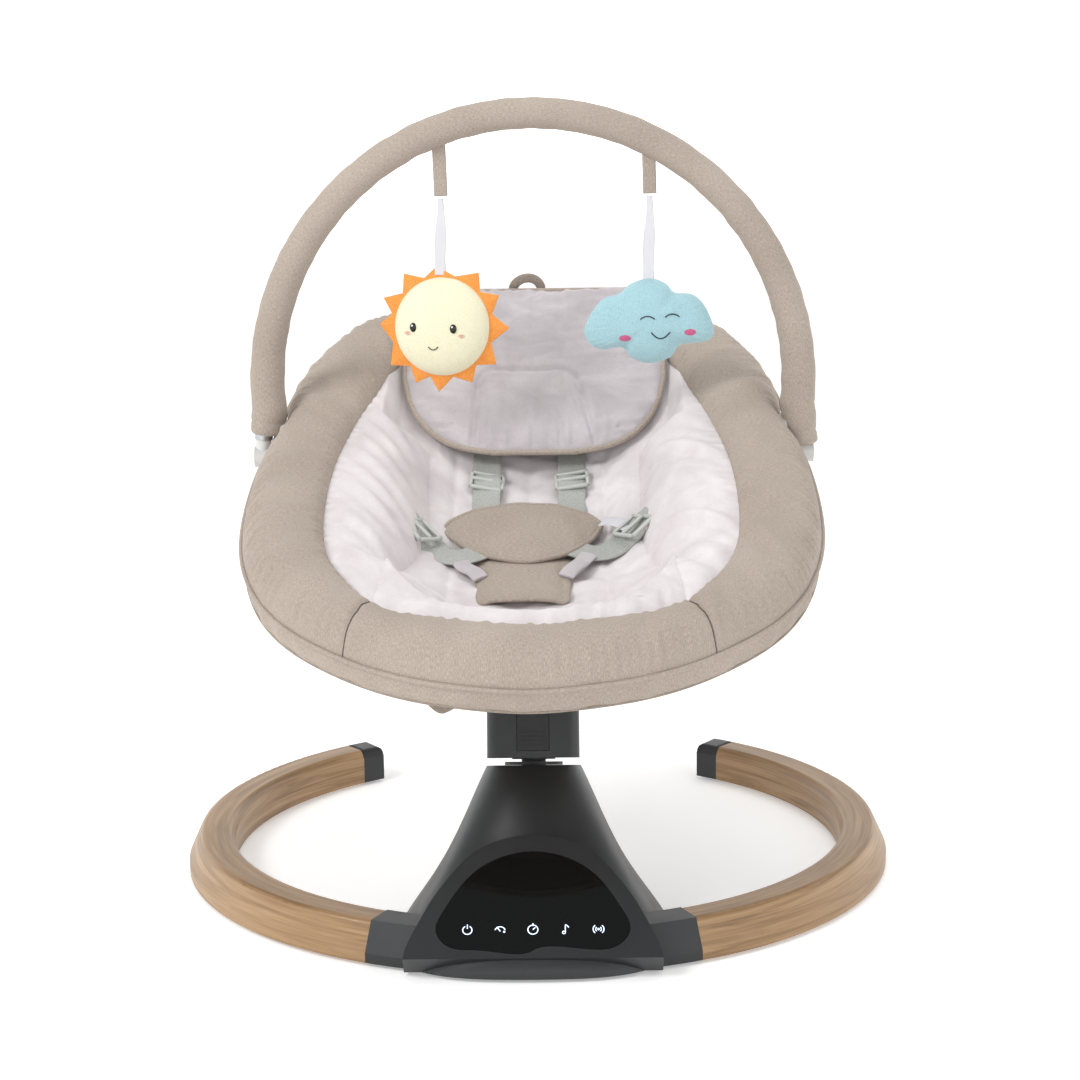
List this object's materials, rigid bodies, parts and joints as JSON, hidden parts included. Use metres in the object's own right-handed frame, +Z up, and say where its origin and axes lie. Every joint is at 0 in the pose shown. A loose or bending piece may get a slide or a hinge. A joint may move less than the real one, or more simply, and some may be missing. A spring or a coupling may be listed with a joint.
{
  "type": "baby swing",
  "caption": "Electric baby swing: padded inclined seat with harness and toy bar on a leaning tower over an open floor ring.",
  "frame": {"origin": "centre of the floor ring, on the floor", "axes": "+Z up, -Y towards the control panel at the front, +X to the right seen from the front"},
  "size_m": [0.62, 0.6643, 0.6674],
  "materials": {
    "black_plastic": "satin moulded ABS",
    "black_rubber": "soft moulded rubber",
    "wood_look": "wood-grain printed aluminium, satin",
    "touch_glass": "polished black acrylic",
    "circuit_board": "glass-epoxy laminate",
    "steel": "zinc-plated steel",
    "copper": "enamelled copper winding",
    "taupe_cloth": "melange woven polyester",
    "lining_velvet": "short-pile velvet",
    "cushion_velvet": "short-pile velvet",
    "webbing": "woven polyester webbing",
    "grey_plastic": "moulded acetal",
    "white_plastic": "moulded nylon",
    "sun_plush": "plush with felt rays",
    "cloud_plush": "velboa plush",
    "ribbon": "satin ribbon"
  },
  "bodies": {
    "base": {"tower_cover": "black_plastic", "tower_base_plate": "black_plastic", "leg_left": "wood_look", "leg_right": "wood_look", "leg_tongue_left": "black_plastic", "leg_tongue_right": "black_plastic", "end_cap_left": "black_plastic", "end_cap_right": "black_plastic", "rubber_feet": "black_rubber", "touch_glass": "touch_glass", "touch_circuit_board": "circuit_board", "speaker": "black_plastic", "power_inlet": "black_plastic", "bearing_housing": "black_plastic", "upper_bearing": "steel", "lower_bearing": "steel", "neck_collar": "black_plastic", "coil_carrier": "black_plastic", "drive_coil": "copper", "base_screws": "steel"},
    "swing_head": {"neck_shaft": "steel", "swing_lever": "steel", "drive_magnet": "steel", "neck_block": "black_plastic", "recline_pin": "steel", "latch_spring": "steel"},
    "release_button": {"release_button": "black_plastic"},
    "seat": {"seat_frame_front": "steel", "seat_frame_rear": "steel", "cradle_tube": "steel", "side_clamp_left": "black_plastic", "side_clamp_right": "black_plastic", "seat_bracket": "black_plastic", "seat_border": "taupe_cloth", "bar_socket_left": "white_plastic", "bar_socket_right": "white_plastic", "under_cover": "taupe_cloth", "side_bolster_left": "lining_velvet", "side_bolster_right": "lining_velvet", "back_pad": "lining_velvet", "seat_lip": "lining_velvet", "head_cushion": "cushion_velvet", "head_loop": "taupe_cloth", "shoulder_strap_left": "webbing", "shoulder_strap_right": "webbing", "waist_strap_left": "webbing", "waist_strap_right": "webbing", "strap_adjusters": "grey_plastic", "crotch_pad": "taupe_cloth", "crotch_flap": "taupe_cloth"},
    "toy_bar": {"bar_tube": "steel", "bar_sleeve": "taupe_cloth", "bar_foot_left": "white_plastic", "bar_foot_right": "white_plastic", "sun_tab": "taupe_cloth", "cloud_tab": "taupe_cloth"},
    "toy_sun": {"sun_toy": "sun_plush", "sun_ribbon": "ribbon"},
    "toy_cloud": {"cloud_toy": "cloud_plush", "cloud_ribbon": "ribbon"}
  },
  "joints": [
    {"name": "swing", "type": "hinge", "parent": "base", "child": "swing_head", "pos_m": [0, -0.15, 0.125], "axis": [0, 0.2823, 0.9593], "range_deg": [-15, 15]},
    {"name": "release_press", "type": "slide", "parent": "swing_head", "child": "release_button", "axis": [0, 0.9593, -0.2823], "range_m": [0, 0.004], "stiffness_N_per_m": 900, "springref_m": -0.001, "deforming": ["latch_spring"]},
    {"name": "seat_recline", "type": "hinge", "parent": "swing_head", "child": "seat", "pos_m": [0, -0.11801, 0.18199], "axis": [1, 0, 0], "range_deg": [-6, 6]},
    {"name": "toy_bar_fold", "type": "hinge", "parent": "seat", "child": "toy_bar", "pos_m": [0, 0.075, 0.35], "axis": [1, 0, 0], "range_deg": [-25, 25]},
    {"name": "sun_swing", "type": "hinge", "parent": "toy_bar", "child": "toy_sun", "pos_m": [-0.08, 0.075, 0.579], "axis": [1, 0, 0], "range_deg": [-25, 25]},
    {"name": "cloud_swing", "type": "hinge", "parent": "toy_bar", "child": "toy_cloud", "pos_m": [0.105, 0.075, 0.579], "axis": [1, 0, 0], "range_deg": [-25, 25]}
  ]
}
